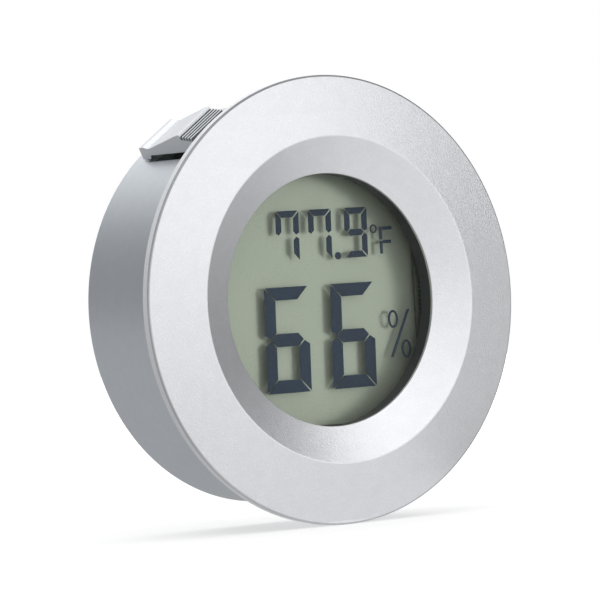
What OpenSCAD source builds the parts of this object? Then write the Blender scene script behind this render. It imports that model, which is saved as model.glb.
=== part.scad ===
// Round panel-mount digital thermometer and hygrometer that snaps into a round hole.
// The front faces -Y, the axis runs along Y, and the origin is on the axis where the
// back of the flange meets the panel.

/* [Bezel] */
// Outer radius of the flange
flange_r = 22.5; // [21.8:0.1:30]
// Thickness of the flange at its edge
flange_t = 1.0; // [0.8:0.1:2]
// Radius of the raised crest between the face and the inner cone
crest_r = 16.2; // [15:0.1:17.2]
// Height of the crest in front of the panel plane
crest_h = 2.2; // [1.8:0.1:3.2]
// Radius of the round window
window_r = 12.67; // [10:0.1:13]
// Height of the window's edge in front of the panel plane
window_h = 0.44; // [0.3:0.02:0.8]

/* [Barrel] */
// Outer radius of the barrel that passes through the panel
barrel_r = 20.25; // [20:0.05:22]
// Length of the barrel behind the panel plane
barrel_len = 13.4; // [13.2:0.1:20]
// Wall of the barrel
barrel_wall = 1.0; // [0.8:0.1:1.2]
// Radius of the barrel's rounded rear edge
rear_round = 1.0; // [0.4:0.1:1]

/* [Snap clips] */
// Turn of the first clip from the top, towards +X
clip_turn = -35; // [-60:1:60]
// Width of a clip
clip_w = 4.8; // [4:0.1:6]
// Radius at the clip's crest
clip_crest_r = 22.68; // [21.8:0.02:23.2]
// Distance of the clip's crest behind the panel plane
clip_crest_y = 2.65; // [2.6:0.05:3.4]
// Depth of one grip step along the axis
clip_step = 0.3; // [0.2:0.05:0.3]

/* [Display] */
// Depth of the display's front face behind the panel plane
lcd_y = 1.45; // [1.3:0.05:1.6]
// Half width of the display glass
lcd_half_w = 12.85; // [12.8:0.05:13]
// Thickness of the front glass
front_glass_t = 0.55; // [0.4:0.05:0.7]
// Thickness of the rear glass
rear_glass_t = 0.8; // [0.6:0.05:0.9]
// Lean of the characters, sideways per height
slant = 0.031; // [0:0.001:0.1]

/* [Electronics] */
// Thickness of the circuit board
pcb_t = 0.8; // [0.6:0.1:1.2]
// Radius of a button cell
cell_r = 5.8; // [5.6:0.05:5.9]
// Height of a button cell
cell_h = 5.4; // [5:0.1:5.4]
// Travel of the unit button
button_travel = 0.6; // [0.3:0.1:0.8]
// Radius of the unit button's stem
button_r = 1.6; // [1.2:0.1:2]

/* [Hidden] */
$fn = 96;

// clearances
eps = 0.01;
fit = 0.05;

// edge of the window, and how deep the barrel's front sits in the bezel
lip_t = 0.3;
socket_d = 0.4;

// barrel and rear cover
barrel_in = barrel_r - barrel_wall;
cover_t = 1.2;
cover_y = barrel_len - cover_t;
cover_r = barrel_in - fit;
ledge_t = 0.8;
ledge_w = 0.95;
boss_r = 1.9;

// display stack, from the front to the back
polarizer_t = 0.12;
ink_t = 0.06;
reflector_t = 0.18;
lcd_top = 13.0;
lcd_step = 12.75;
lcd_foot = 13.9;
glass_y = lcd_y + polarizer_t;
ink_y = glass_y + front_glass_t;
rear_glass_y = ink_y + ink_t;
reflector_y = rear_glass_y + rear_glass_t;
frame_y = reflector_y + reflector_t;

// circuit board
pcb_gap = 1.24;
pcb_y = frame_y + pcb_gap;
pcb_back = pcb_y + pcb_t;
pcb_r = barrel_in - 0.85;
pcb_boss_at = 16.3;
pcb_screw_turns = [0, 100, -100];
screw_r = 0.8;
screw_head_r = 1.5;
screw_head_t = 0.8;
screw_len = 3.4;

// button cells and their wells
cell_x = cell_r + 0.4;
cell_z = -6.6;
well_r = cell_r + 0.25;
well_wall = 0.7;
floor_t = 0.4;
contact_t = 0.25;
tail_up = 3.4;
door_t = 1.1;
door_contact_t = 0.15;
cell_back = barrel_len - door_t - door_contact_t - 0.1;
cell_y = cell_back - cell_h;
floor_y = cell_y - contact_t - 0.1 - floor_t;

// battery door
door_pivot_z = 0.6;
door_bead_r = 0.75;
door_pivot_y = barrel_len - door_bead_r;
door_half_w = cell_x + cell_r + 0.5;
door_len = door_pivot_z - (cell_z - cell_r) + 0.9;
door_pin_r = 0.4;
door_pin_len = 0.8;

// unit button and the switch under it
button_x = 0;
button_z = 9.5;
switch_h = 2.6;
plunger_r = 0.9;
plunger_up = 1.0;
button_flange_t = 0.6;
button_flange_w = 0.8;
button_sunk = 0.2;

// rear cover screws
back_boss_at = barrel_in - 2.3;
back_screw_turns = [62, -62];
back_screw_len = 5;

// snap clips
clip_pivot_y = 10.8;
clip_pivot_r = barrel_r - 0.6;
clip_pin_r = 0.4;
clip_pin_len = 0.8;
clip_under_r = barrel_r + 0.28;
clip_top_r = barrel_r + 1.38;
clip_foot_y = 11.66;
clip_steps = 5;
clip_step_h = 0.2;
clip_stem_w = clip_w - 1.2;

// digits: [left edge, foot, width, height, stroke]
char_gap = 0.11;
ink_x = 0.764;
small_w = 2.83;
small_h = 5.05;
small_stroke = 0.66;
small_z = 4.1;
small_x = [-5.35, -1.32, 3.17];
big_w = 5.4;
big_h = 10.6;
big_stroke = 1.3;
big_z = -9.05;
big_x = [-7.46, 0.72];

// ---------------------------------------------------------------- helpers

// Turns a profile of [radius, y] points around the Y axis.
module turn(points) {
    rotate([-90, 0, 0])
        rotate_extrude()
            polygon(points);
}

// A slab parallel to the panel, drawn in X and Z, from y to y + t.
module slab(y, t) {
    translate([0, y + t, 0])
        rotate([90, 0, 0])
            linear_extrude(t)
                children();
}

// A round bar along Y.
module bar(x, z, y, len, r) {
    translate([x, y, z])
        rotate([-90, 0, 0])
            cylinder(r = r, h = len);
}

// A box given by its centre in X and Z and its span in Y.
module block(x, z, y, size_x, size_z, size_y) {
    translate([x - size_x / 2, y, z - size_z / 2])
        cube([size_x, size_y, size_z]);
}

// Turns its children around the axis, clockwise as seen from the front.
module around(angle) {
    rotate([0, angle, 0])
        children();
}

// A rectangle in X and Z from its corners.
module rect(x0, z0, x1, z1) {
    translate([x0, z0])
        square([x1 - x0, z1 - z0]);
}

// The points of an ellipse.
function oval(x, z, rx, rz, n = 40) =
    [for (i = [0:n - 1]) [x + rx * cos(360 * i / n), z + rz * sin(360 * i / n)]];

// Leans a list of points.
function lean(points) = [for (p = points) [p[0] + slant * p[1], p[1]]];

// ---------------------------------------------------------------- bezel

module bezel() {
    skin = 1.3;
    relief_d = 0.25;
    under_y = lip_t - window_h;
    color([0.86, 0.87, 0.88])
    difference() {
        union() {
            turn([
                [window_r, under_y],
                [window_r, -window_h],
                [crest_r - 0.35, -crest_h + 0.15],
                [crest_r, -crest_h],
                [crest_r + 0.6, -crest_h + 0.06],
                [flange_r - 0.3, -flange_t - 0.02],
                [flange_r - 0.09, -flange_t + 0.09],
                [flange_r, -flange_t + 0.3],
                [flange_r, 0],
                [barrel_r + fit, 0],
                [barrel_r + fit, under_y]
            ]);
            for (a = pcb_screw_turns)
                around(a)
                    bar(0, pcb_boss_at, -skin / 2, pcb_y + skin / 2, boss_r);
        }
        // groove for the barrel's front edge
        turn([
            [barrel_in - fit, -socket_d],
            [barrel_r + fit, -socket_d],
            [barrel_r + fit, eps],
            [barrel_in - fit, eps]
        ]);
        // relief behind each clip's nose
        for (a = [clip_turn, clip_turn + 180])
            around(a)
                block(0, barrel_r + 0.9, -relief_d, clip_w + 0.8, 2, 1);
        for (a = pcb_screw_turns)
            around(a)
                bar(0, pcb_boss_at, pcb_back - screw_len - 0.4, screw_len + 1, screw_r + fit);
    }
}

module window_ring() {
    ring_t = 1.05;
    color([0.05, 0.05, 0.055])
    turn([
        [window_r, lip_t - window_h],
        [window_r + ring_t, lip_t - window_h],
        [window_r + ring_t, lcd_y],
        [window_r, lcd_y]
    ]);
}

// ---------------------------------------------------------------- display

module lcd_outline(foot, margin = 0) {
    rect(-lcd_half_w + margin, -foot + margin, lcd_half_w - margin, lcd_top - margin);
}

module lcd_polarizer() {
    color([0.62, 0.66, 0.58, 0.5])
    slab(lcd_y, polarizer_t)
        lcd_outline(lcd_step);
}

module lcd_front_glass() {
    color([0.75, 0.80, 0.76, 0.4])
    slab(glass_y, front_glass_t)
        lcd_outline(lcd_foot);
}

module lcd_seal() {
    seal_w = 0.8;
    color([0.35, 0.36, 0.33])
    slab(ink_y, ink_t)
        difference() {
            lcd_outline(lcd_step);
            lcd_outline(lcd_step, seal_w);
        }
}

module lcd_rear_glass() {
    color([0.75, 0.80, 0.76, 0.4])
    slab(rear_glass_y, rear_glass_t)
        lcd_outline(lcd_step);
}

module lcd_reflector() {
    color([0.60, 0.64, 0.56])
    slab(reflector_y, reflector_t)
        lcd_outline(lcd_step);
}

// One bar of a seven-bar character, named a to g as usual, in a box w by h.
function segment(name, w, h, t) =
    let (g = char_gap, m = h / 2, q = t * 0.3)
    name == "a" ? [[g, h], [w - g, h], [w - t - g, h - t], [t + g, h - t]] :
    name == "d" ? [[g, 0], [t + g, t], [w - t - g, t], [w - g, 0]] :
    name == "b" ? [[w, h - g], [w, m + q + g], [w - t / 2, m + g], [w - t, m + t / 2 + g],
                   [w - t, h - t - g]] :
    name == "c" ? [[w, g], [w - t, t + g], [w - t, m - t / 2 - g], [w - t / 2, m - g],
                   [w, m - q - g]] :
    name == "e" ? [[0, g], [0, m - q - g], [t / 2, m - g], [t, m - t / 2 - g], [t, t + g]] :
    name == "f" ? [[0, h - g], [t, h - t - g], [t, m + t / 2 + g], [t / 2, m + g],
                   [0, m + q + g]] :
    [[t / 2 + g, m], [t + g, m - t / 2], [w - t - g, m - t / 2], [w - t / 2 - g, m],
     [w - t - g, m + t / 2], [t + g, m + t / 2]];

// A character made of the named bars, with its foot's left corner at x, z.
module character(bars, x, z, w, h, t) {
    for (name = bars)
        translate([x, z])
            polygon(lean(segment(name, w, h, t)));
}

seven = ["a", "b", "c", "f"];
nine = ["a", "b", "c", "d", "f", "g"];
six = ["a", "c", "d", "e", "f", "g"];

module digits_temperature() {
    shown = [seven, seven, nine];
    color([0.20, 0.24, 0.32])
    slab(ink_y, ink_t)
        for (i = [0:2])
            character(shown[i], small_x[i] + ink_x, small_z, small_w, small_h, small_stroke);
}

module digits_humidity() {
    color([0.20, 0.24, 0.32])
    slab(ink_y, ink_t)
        for (x = big_x)
            character(six, x + ink_x, big_z, big_w, big_h, big_stroke);
}

module ring_mark(x, z, rx, rz, stroke) {
    difference() {
        polygon(oval(x, z, rx, rz));
        polygon(oval(x, z, rx - stroke, rz - stroke));
    }
}

module lcd_symbols() {
    dot_r = 0.36;
    f_x = 7.6;
    f_z = 4.3;
    f_w = 1.55;
    f_h = 2.7;
    f_stroke = 0.36;
    cut = 0.07;
    color([0.20, 0.24, 0.32])
    slab(ink_y, ink_t)
        translate([ink_x, 0]) {
            // decimal point and degree ring
            polygon(oval(2.26, 4.36, dot_r, dot_r));
            ring_mark(6.87, 6.87, 0.4, 0.42, 0.13);
            // the letter F, from four bars
            rect(f_x + f_stroke + cut, f_z + f_h - f_stroke, f_x + f_w, f_z + f_h);
            rect(f_x + f_stroke + cut, f_z + f_h / 2 - f_stroke, f_x + f_w * 0.9, f_z + f_h / 2);
            rect(f_x, f_z + f_h / 2 + cut, f_x + f_stroke, f_z + f_h);
            rect(f_x, f_z, f_x + f_stroke, f_z + f_h / 2 - cut);
            // percent sign
            ring_mark(8.68, -2.40, 0.58, 0.88, 0.2);
            ring_mark(10.16, -5.49, 0.58, 0.88, 0.2);
            polygon([[8.17, -6.24], [8.47, -6.24], [10.78, -1.54], [10.48, -1.54]]);
        }
}

module lcd_frame() {
    rim = 4;
    color([0.90, 0.90, 0.88])
    slab(frame_y, pcb_y - frame_y)
        difference() {
            lcd_outline(lcd_step);
            lcd_outline(lcd_step, rim);
        }
}

module zebra_strip() {
    zebra_t = 0.95;
    color([0.35, 0.35, 0.37])
    slab(ink_y, pcb_y - ink_y)
        rect(-lcd_half_w + 1.5, -lcd_foot + 0.05, lcd_half_w - 1.5, -lcd_foot + 0.05 + zebra_t);
}

// ---------------------------------------------------------------- circuit board

module circuit_board() {
    color([0.10, 0.36, 0.20])
    difference() {
        bar(0, 0, pcb_y, pcb_t, pcb_r);
        for (a = pcb_screw_turns)
            around(a)
                bar(0, pcb_boss_at, pcb_y - 1, pcb_t + 2, screw_r + 0.15);
    }
}

module screw(back, len) {
    slot_w = 0.35;
    slot_d = 0.35;
    difference() {
        union() {
            bar(0, 0, back, screw_head_t, screw_head_r);
            bar(0, 0, back - len, len + eps, screw_r);
        }
        block(0, 0, back + screw_head_t - slot_d, 2 * screw_head_r * 0.8, slot_w, 1);
        block(0, 0, back + screw_head_t - slot_d, slot_w, 2 * screw_head_r * 0.8, 1);
    }
}

module pcb_screw(i) {
    color([0.66, 0.66, 0.68])
    around(pcb_screw_turns[i])
        translate([0, 0, pcb_boss_at])
            screw(pcb_back, screw_len);
}

module chip_cover() {
    chip_x = -8.2;
    chip_z = 8.4;
    chip_r = 3.6;
    chip_h = 1.3;
    color([0.06, 0.06, 0.06])
    translate([chip_x, 0, chip_z])
        turn([
            [0, pcb_back],
            [chip_r, pcb_back],
            [chip_r * 0.9, pcb_back + chip_h * 0.45],
            [chip_r * 0.65, pcb_back + chip_h * 0.82],
            [chip_r * 0.3, pcb_back + chip_h],
            [0, pcb_back + chip_h]
        ]);
}

module crystal() {
    can_r = 1.0;
    can_len = 6;
    can_x = -7;
    can_z = 13.4;
    lead_r = 0.15;
    lead_len = 1.6;
    color([0.75, 0.75, 0.77])
    union() {
        translate([can_x - can_len / 2, pcb_back + can_r, can_z])
            rotate([0, 90, 0])
                cylinder(r = can_r, h = can_len);
        for (side = [-0.35, 0.35])
            translate([can_x + can_len / 2 - eps, pcb_back + can_r, can_z + side])
                rotate([0, 90, 0])
                    cylinder(r = lead_r, h = lead_len);
    }
}

capacitor_at = [[5.2, 3.4], [-3.2, 3.4], [9.6, 3.4]];

module capacitor(i) {
    body = [2, 1.25, 0.7];
    color([0.72, 0.62, 0.48])
    block(capacitor_at[i][0], capacitor_at[i][1], pcb_back, body[0], body[1], body[2]);
}

module tact_switch() {
    body_w = 5;
    color([0.12, 0.12, 0.13])
    difference() {
        union() {
            block(button_x, button_z, pcb_back, body_w, body_w, switch_h);
            for (sx = [-1, 1], sz = [-1, 1])
                block(button_x + sx * (body_w / 2 + 0.4), button_z + sz * 1.6, pcb_back, 1, 0.8, 0.3);
        }
        bar(button_x, button_z, pcb_back + switch_h - button_travel - 0.5, 3, plunger_r + 0.1);
    }
}

module switch_plunger() {
    color([0.55, 0.10, 0.10])
    bar(button_x, button_z, pcb_back + switch_h - 0.3, plunger_up + 0.3, plunger_r);
}

module humidity_sensor() {
    plate_x = 10.2;
    plate_z = 9.6;
    plate_w = 4.8;
    plate_h = 6.8;
    plate_t = 0.6;
    lead_r = 0.2;
    lead_z = 7.2;
    lead_len = 1.2;
    lead_pitch = 2.54;
    color([0.85, 0.87, 0.90])
    union() {
        block(plate_x, plate_z, pcb_back + lead_len, plate_w, plate_h, plate_t);
        for (side = [-1, 1])
            bar(plate_x + side * lead_pitch / 2, lead_z, pcb_back, lead_len + eps, lead_r);
    }
}

module thermistor() {
    bead_x = 4.4;
    bead_z = 14.6;
    bead_r = 0.9;
    lead_len = 2;
    lead_r = 0.15;
    color([0.10, 0.10, 0.11])
    union() {
        translate([bead_x, pcb_back + lead_len + 0.2, bead_z])
            sphere(r = bead_r);
        for (side = [-0.4, 0.4])
            bar(bead_x + side, bead_z, pcb_back, lead_len, lead_r);
    }
}

// ---------------------------------------------------------------- barrel and rear cover

module clip_pocket() {
    // wide part under the arm, narrow part around the stem, and the pin's bore
    stem_w = clip_stem_w + 0.4;
    translate([0, 0, barrel_r]) {
        block(0, 0, 0.9, clip_w + 0.6, 4.4, clip_pivot_y - 0.4 - 0.9);
        block(0, 0, clip_pivot_y - 0.6, stem_w, 4.4, 1.2);
    }
    translate([-(stem_w / 2 + clip_pin_len + 0.1), clip_pivot_y, clip_pivot_r])
        rotate([0, 90, 0])
            cylinder(r = clip_pin_r + fit, h = stem_w + 2 * (clip_pin_len + 0.1));
}

module barrel() {
    pad_in = barrel_in - 0.55;
    boss_y = pcb_back + 1.2;
    boss_len = cover_y - 0.1 - boss_y;
    color([0.66, 0.69, 0.72])
    difference() {
        union() {
            rotate([-90, 0, 0])
                rotate_extrude()
                    difference() {
                        translate([barrel_in, -socket_d])
                            square([barrel_wall, barrel_len + socket_d]);
                        difference() {
                            translate([barrel_r - rear_round, barrel_len - rear_round])
                                square(rear_round + 1);
                            translate([barrel_r - rear_round, barrel_len - rear_round])
                                circle(r = rear_round);
                        }
                    }
            // ledge that carries the rear cover
            turn([
                [barrel_in - ledge_w, cover_y - ledge_t],
                [barrel_in + eps, cover_y - ledge_t],
                [barrel_in + eps, cover_y],
                [barrel_in - ledge_w, cover_y]
            ]);
            // bosses for the rear screws
            for (a = back_screw_turns)
                around(a) {
                    bar(0, back_boss_at, boss_y, boss_len, boss_r);
                    block(0, back_boss_at + 1.5, boss_y, 1.2, 2, boss_len);
                }
            // pads around the clips' pins
            for (a = [clip_turn, clip_turn + 180])
                around(a)
                    intersection() {
                        block(0, barrel_r - 1, clip_pivot_y - 1.1, clip_w + 2.4, 4, 2.2);
                        turn([
                            [pad_in, 0],
                            [barrel_in + 0.2, 0],
                            [barrel_in + 0.2, cover_y],
                            [pad_in, cover_y]
                        ]);
                    }
        }
        for (a = [clip_turn, clip_turn + 180])
            around(a)
                clip_pocket();
        for (a = back_screw_turns)
            around(a)
                bar(0, back_boss_at, cover_y - back_screw_len, back_screw_len + 1, screw_r + fit);
    }
}

module wells(y, t, r) {
    for (s = [-1, 1])
        bar(s * cell_x, cell_z, y, t, r);
}

module back_cover() {
    door_gap = 0.25;
    opening_w = 2 * (door_half_w + door_gap);
    recess_r = door_bead_r + door_gap;
    guide_len = 1.0;
    guide_wall = 0.9;
    notch_w = 5;
    notch_d = 0.6;
    vent_x = 9;
    vent_z = 6.2;
    vent_w = 0.9;
    vent_len = 6;
    vent_pitch = 1.9;
    color([0.62, 0.65, 0.68])
    difference() {
        union() {
            bar(0, 0, cover_y, cover_t, cover_r);
            wells(floor_y, cover_y - floor_y + eps, well_r + well_wall);
            // guide of the unit button
            bar(button_x, button_z, cover_y - guide_len, guide_len + eps, button_r + guide_wall);
        }
        wells(floor_y + floor_t, barrel_len, well_r);
        // opening for the door
        block(0, door_pivot_z - door_len / 2, barrel_len - door_t - door_contact_t - door_gap,
              opening_w, door_len + 2 * door_gap, 3);
        // round recess for its bead, open straight to the rear to clear the door at full swing
        translate([-opening_w / 2, door_pivot_y, door_pivot_z])
            rotate([0, 90, 0])
                cylinder(r = recess_r, h = opening_w);
        block(0, door_pivot_z + recess_r / 2, door_pivot_y, opening_w, recess_r, 3);
        translate([-opening_w / 2 - door_pin_len, door_pivot_y, door_pivot_z])
            rotate([0, 90, 0])
                cylinder(r = door_pin_r + fit, h = opening_w + 2 * door_pin_len);
        // fingernail notch
        block(0, door_pivot_z - door_len - notch_d, barrel_len - notch_d, notch_w, 2, 2);
        // bore of the unit button
        bar(button_x, button_z, cover_y - 2, 5, button_r + 0.1);
        // slots that let the air reach the sensors
        for (side = [-1, 1], i = [0:4])
            block(side * vent_x, vent_z + i * vent_pitch, cover_y - 1, vent_len - i * 0.3, vent_w, 4);
        // counterbored screw holes
        for (a = back_screw_turns)
            around(a) {
                bar(0, back_boss_at, cover_y - 1, 4, screw_r + 0.15);
                bar(0, back_boss_at, barrel_len - screw_head_t, 2, screw_head_r + 0.15);
            }
        // slots for the contacts' tails
        for (s = [-1, 1])
            block(s * cell_x, cell_z + tail_up, floor_y - 1, 2.4, 0.7, 3);
    }
}

module back_screw(i) {
    color([0.66, 0.66, 0.68])
    around(back_screw_turns[i])
        translate([0, 0, back_boss_at])
            screw(barrel_len - screw_head_t, back_screw_len - 1);
}

// A nickel plate under a cell with a tail that reaches the board.
module contact(side) {
    plate_r = 4;
    bump_r = 1.2;
    tail_w = 2;
    tail_t = 0.4;
    plate_y = floor_y + floor_t;
    color([0.80, 0.79, 0.74])
    union() {
        bar(side * cell_x, cell_z, plate_y, contact_t, plate_r);
        bar(side * cell_x, cell_z, plate_y, cell_y - plate_y, bump_r);
        block(side * cell_x, cell_z + tail_up, pcb_back, tail_w, tail_t, plate_y - pcb_back + contact_t);
    }
}

module cell(side) {
    step = 0.5;
    color([0.80, 0.81, 0.83])
    translate([side * cell_x, 0, cell_z])
        turn([
            [0, cell_y],
            [cell_r - 1.1, cell_y],
            [cell_r - 0.9, cell_y + 0.2],
            [cell_r - 0.9, cell_y + step],
            [cell_r - 0.2, cell_y + step],
            [cell_r, cell_y + step + 0.2],
            [cell_r, cell_back - 0.2],
            [cell_r - 0.2, cell_back],
            [0, cell_back]
        ]);
}

module battery_door() {
    ribs = 5;
    rib_pitch = 0.9;
    groove_w = 9;
    groove_h = 0.4;
    groove_d = 0.25;
    color([0.62, 0.65, 0.68])
    difference() {
        union() {
            block(0, door_pivot_z - door_len / 2, barrel_len - door_t,
                  2 * door_half_w, door_len, door_t);
            translate([-door_half_w, door_pivot_y, door_pivot_z])
                rotate([0, 90, 0])
                    cylinder(r = door_bead_r, h = 2 * door_half_w);
            translate([-door_half_w - door_pin_len, door_pivot_y, door_pivot_z])
                rotate([0, 90, 0])
                    cylinder(r = door_pin_r, h = 2 * (door_half_w + door_pin_len));
        }
        // grip grooves
        for (i = [0:ribs - 1])
            block(0, door_pivot_z - door_len + 2.0 + i * rib_pitch, barrel_len - groove_d, groove_w,
                  groove_h, 1);
    }
}

module door_contact() {
    color([0.80, 0.79, 0.74])
    slab(barrel_len - door_t - door_contact_t, door_contact_t)
        rect(-cell_x - 3, cell_z - 3, cell_x + 3, cell_z + 3);
}

module unit_button() {
    bottom = pcb_back + switch_h + plunger_up;
    color([0.25, 0.26, 0.28])
    union() {
        bar(button_x, button_z, bottom, barrel_len - button_sunk - bottom, button_r);
        bar(button_x, button_z, bottom, button_flange_t, button_r + button_flange_w);
    }
}

// ---------------------------------------------------------------- snap clips

// The clip's side outline in [y, radius], from its foot to its stepped nose.
function clip_outline() = concat(
    [[clip_foot_y, barrel_r + 0.1], [clip_foot_y - 0.56, clip_top_r - 0.05],
     [clip_pivot_y - 1.84, clip_top_r], [clip_crest_y + 0.45, clip_crest_r - 0.06],
     [clip_crest_y, clip_crest_r]],
    [for (i = [0:clip_steps - 1], k = [0, 1])
        [clip_crest_y - clip_step * (i + k), clip_crest_r - clip_step_h * (i + 1.15)]],
    [[clip_crest_y - clip_step * clip_steps, clip_under_r], [clip_pivot_y - 0.85, clip_under_r],
     [clip_pivot_y - 0.85, barrel_r + 0.1]]
);

module snap_clip() {
    color([0.78, 0.80, 0.82])
    union() {
        // the outline lies in Y and Z, extruded along X
        translate([-clip_w / 2, 0, 0])
            rotate([90, 0, 90])
                linear_extrude(clip_w)
                    polygon(clip_outline());
        block(0, (clip_pivot_r + barrel_r + 0.3) / 2, clip_pivot_y - clip_pin_r, clip_stem_w,
              barrel_r + 0.3 - clip_pivot_r, 2 * clip_pin_r);
        translate([-clip_stem_w / 2 - clip_pin_len, clip_pivot_y, clip_pivot_r])
            rotate([0, 90, 0])
                cylinder(r = clip_pin_r, h = clip_stem_w + 2 * clip_pin_len);
    }
}

// ---------------------------------------------------------------- assembly

bezel();
window_ring();
lcd_polarizer();
lcd_front_glass();
lcd_seal();
digits_temperature();
digits_humidity();
lcd_symbols();
lcd_rear_glass();
lcd_reflector();
lcd_frame();
zebra_strip();
circuit_board();
pcb_screw(0);  // pcb_screw_1
pcb_screw(1);  // pcb_screw_2
pcb_screw(2);  // pcb_screw_3
chip_cover();
crystal();
capacitor(0);  // capacitor_1
capacitor(1);  // capacitor_2
capacitor(2);  // capacitor_3
tact_switch();
switch_plunger();
humidity_sensor();
thermistor();
barrel();
back_cover();
back_screw(0);  // back_screw_1
back_screw(1);  // back_screw_2
contact(1);  // contact_plus
contact(-1);  // contact_minus
cell(-1);  // cell_left
cell(1);  // cell_right
battery_door();
door_contact();
unit_button();
around(clip_turn) snap_clip();  // snap_clip_upper
around(clip_turn + 180) snap_clip();  // snap_clip_lower
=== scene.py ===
import math

import bmesh
import bpy
import numpy as np
from mathutils import Matrix, Vector


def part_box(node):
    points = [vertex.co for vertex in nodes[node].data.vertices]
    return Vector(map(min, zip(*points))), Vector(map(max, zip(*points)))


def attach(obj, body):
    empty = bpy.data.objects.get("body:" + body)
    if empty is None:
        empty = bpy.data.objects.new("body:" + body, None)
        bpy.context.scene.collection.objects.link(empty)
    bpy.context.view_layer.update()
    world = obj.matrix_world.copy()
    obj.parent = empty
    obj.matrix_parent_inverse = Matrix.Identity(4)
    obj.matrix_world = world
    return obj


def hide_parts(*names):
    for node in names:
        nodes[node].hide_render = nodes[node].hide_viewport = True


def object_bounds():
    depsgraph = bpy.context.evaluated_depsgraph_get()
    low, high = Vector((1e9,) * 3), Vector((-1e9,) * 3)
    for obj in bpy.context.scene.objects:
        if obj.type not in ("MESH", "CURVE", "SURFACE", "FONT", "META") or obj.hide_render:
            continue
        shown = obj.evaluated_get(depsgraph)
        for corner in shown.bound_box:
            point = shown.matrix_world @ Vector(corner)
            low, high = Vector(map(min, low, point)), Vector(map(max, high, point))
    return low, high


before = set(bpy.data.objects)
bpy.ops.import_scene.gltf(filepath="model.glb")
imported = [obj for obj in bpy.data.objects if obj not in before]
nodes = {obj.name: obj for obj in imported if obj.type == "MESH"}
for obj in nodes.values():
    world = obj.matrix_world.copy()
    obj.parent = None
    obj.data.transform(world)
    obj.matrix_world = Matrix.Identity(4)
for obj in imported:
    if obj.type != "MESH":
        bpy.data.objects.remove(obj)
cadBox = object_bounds()
mm = 0.001


def edges(node):
    # the low and high corner of a node's box, in millimetres
    low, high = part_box(node)
    return np.array(low) / mm, np.array(high) / mm


def addMesh(name, points, faces):
    # points in millimetres, faces as lists of point numbers
    mesh = bpy.data.meshes.new(name)
    mesh.from_pydata((np.asarray(points) * mm).tolist(), [], faces)
    mesh.update()
    piece = bpy.data.objects.new(name, mesh)
    bpy.context.scene.collection.objects.link(piece)
    return piece


def faceOutward(piece):
    # on a closed mesh the sum of p . (q x r) over its triangles is six volumes, so its sign tells the side
    mesh = piece.data
    mesh.calc_loop_triangles()
    points = np.empty(len(mesh.vertices) * 3)
    picks = np.empty(len(mesh.loop_triangles) * 3, np.int32)
    mesh.vertices.foreach_get("co", points)
    mesh.loop_triangles.foreach_get("vertices", picks)
    corners = points.reshape(-1, 3)[picks].reshape(-1, 3, 3)
    volume = np.einsum("ij,ij->i", corners[:, 0], np.cross(corners[:, 1], corners[:, 2])).sum()
    if volume < 0:
        mesh.flip_normals()
    return piece


def roundCorners(corners, steps=6, share=0.48, straight=89):
    # each corner (a, b, radius) becomes an arc whose centre lies on the corner's bisector,
    # radius / sin(half angle) away from it; it takes at most that share of either side,
    # and a corner whose half angle is past the straight one stays a point
    place = np.array([c[:2] for c in corners], float)
    path = []
    for i, corner in enumerate(corners):
        here, before, after = place[i], place[i - 1], place[(i + 1) % len(place)]
        radius = corner[2] if len(corner) > 2 else 0
        u, v = before - here, after - here
        lengthU, lengthV = np.hypot(*u), np.hypot(*v)
        u, v = u / lengthU, v / lengthV
        half = np.arccos(np.clip(u @ v, -1, 1)) / 2
        if radius <= 0 or half > np.radians(straight):
            path.append(here)
            continue
        reach = min(radius / np.tan(half), share * lengthU, share * lengthV)
        radius = reach * np.tan(half)
        centre = here + (u + v) / np.hypot(*(u + v)) * radius / np.sin(half)
        start, end = here + u * reach - centre, here + v * reach - centre
        turn = np.arctan2(start[0] * end[1] - start[1] * end[0], start @ end)
        t = np.linspace(0, 1, steps + 1)[:, None] * turn
        side = np.array([-start[1], start[0]])
        path.extend(centre + start * np.cos(t) + side * np.sin(t))
    return np.array(path)


def holdSpans(path, hold=0.06):
    # long straight spans get a point near each end, which keeps their shading flat
    out = []
    for here, after in zip(path, np.roll(path, -1, axis=0)):
        out.append(here)
        span = np.hypot(*(after - here))
        if span > 4 * hold:
            out += [here + (after - here) * hold / span, after - (after - here) * hold / span]
    return np.array(out)


def turnedRing(name, corners, columns=240, steps=6):
    # a closed profile (radius, depth) turned round the Y axis: x = r sin t, z = r cos t
    profile = holdSpans(roundCorners(corners, steps))
    t = np.arange(columns) * 2 * np.pi / columns
    radius, depth = profile[:, 0][:, None], profile[:, 1][:, None] + np.zeros((1, columns))
    grid = np.stack([radius * np.sin(t), depth, radius * np.cos(t)], axis=-1)
    rows = len(profile)
    i, j = np.meshgrid(np.arange(rows), np.arange(columns), indexing="ij")
    k, m = (i + 1) % rows, (j + 1) % columns
    quads = np.stack([i * columns + j, i * columns + m, k * columns + m, k * columns + j], axis=-1)
    piece = faceOutward(addMesh(name, grid.reshape(-1, 3), quads.reshape(-1, 4).tolist()))
    piece.data.shade_smooth()
    return piece


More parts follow.
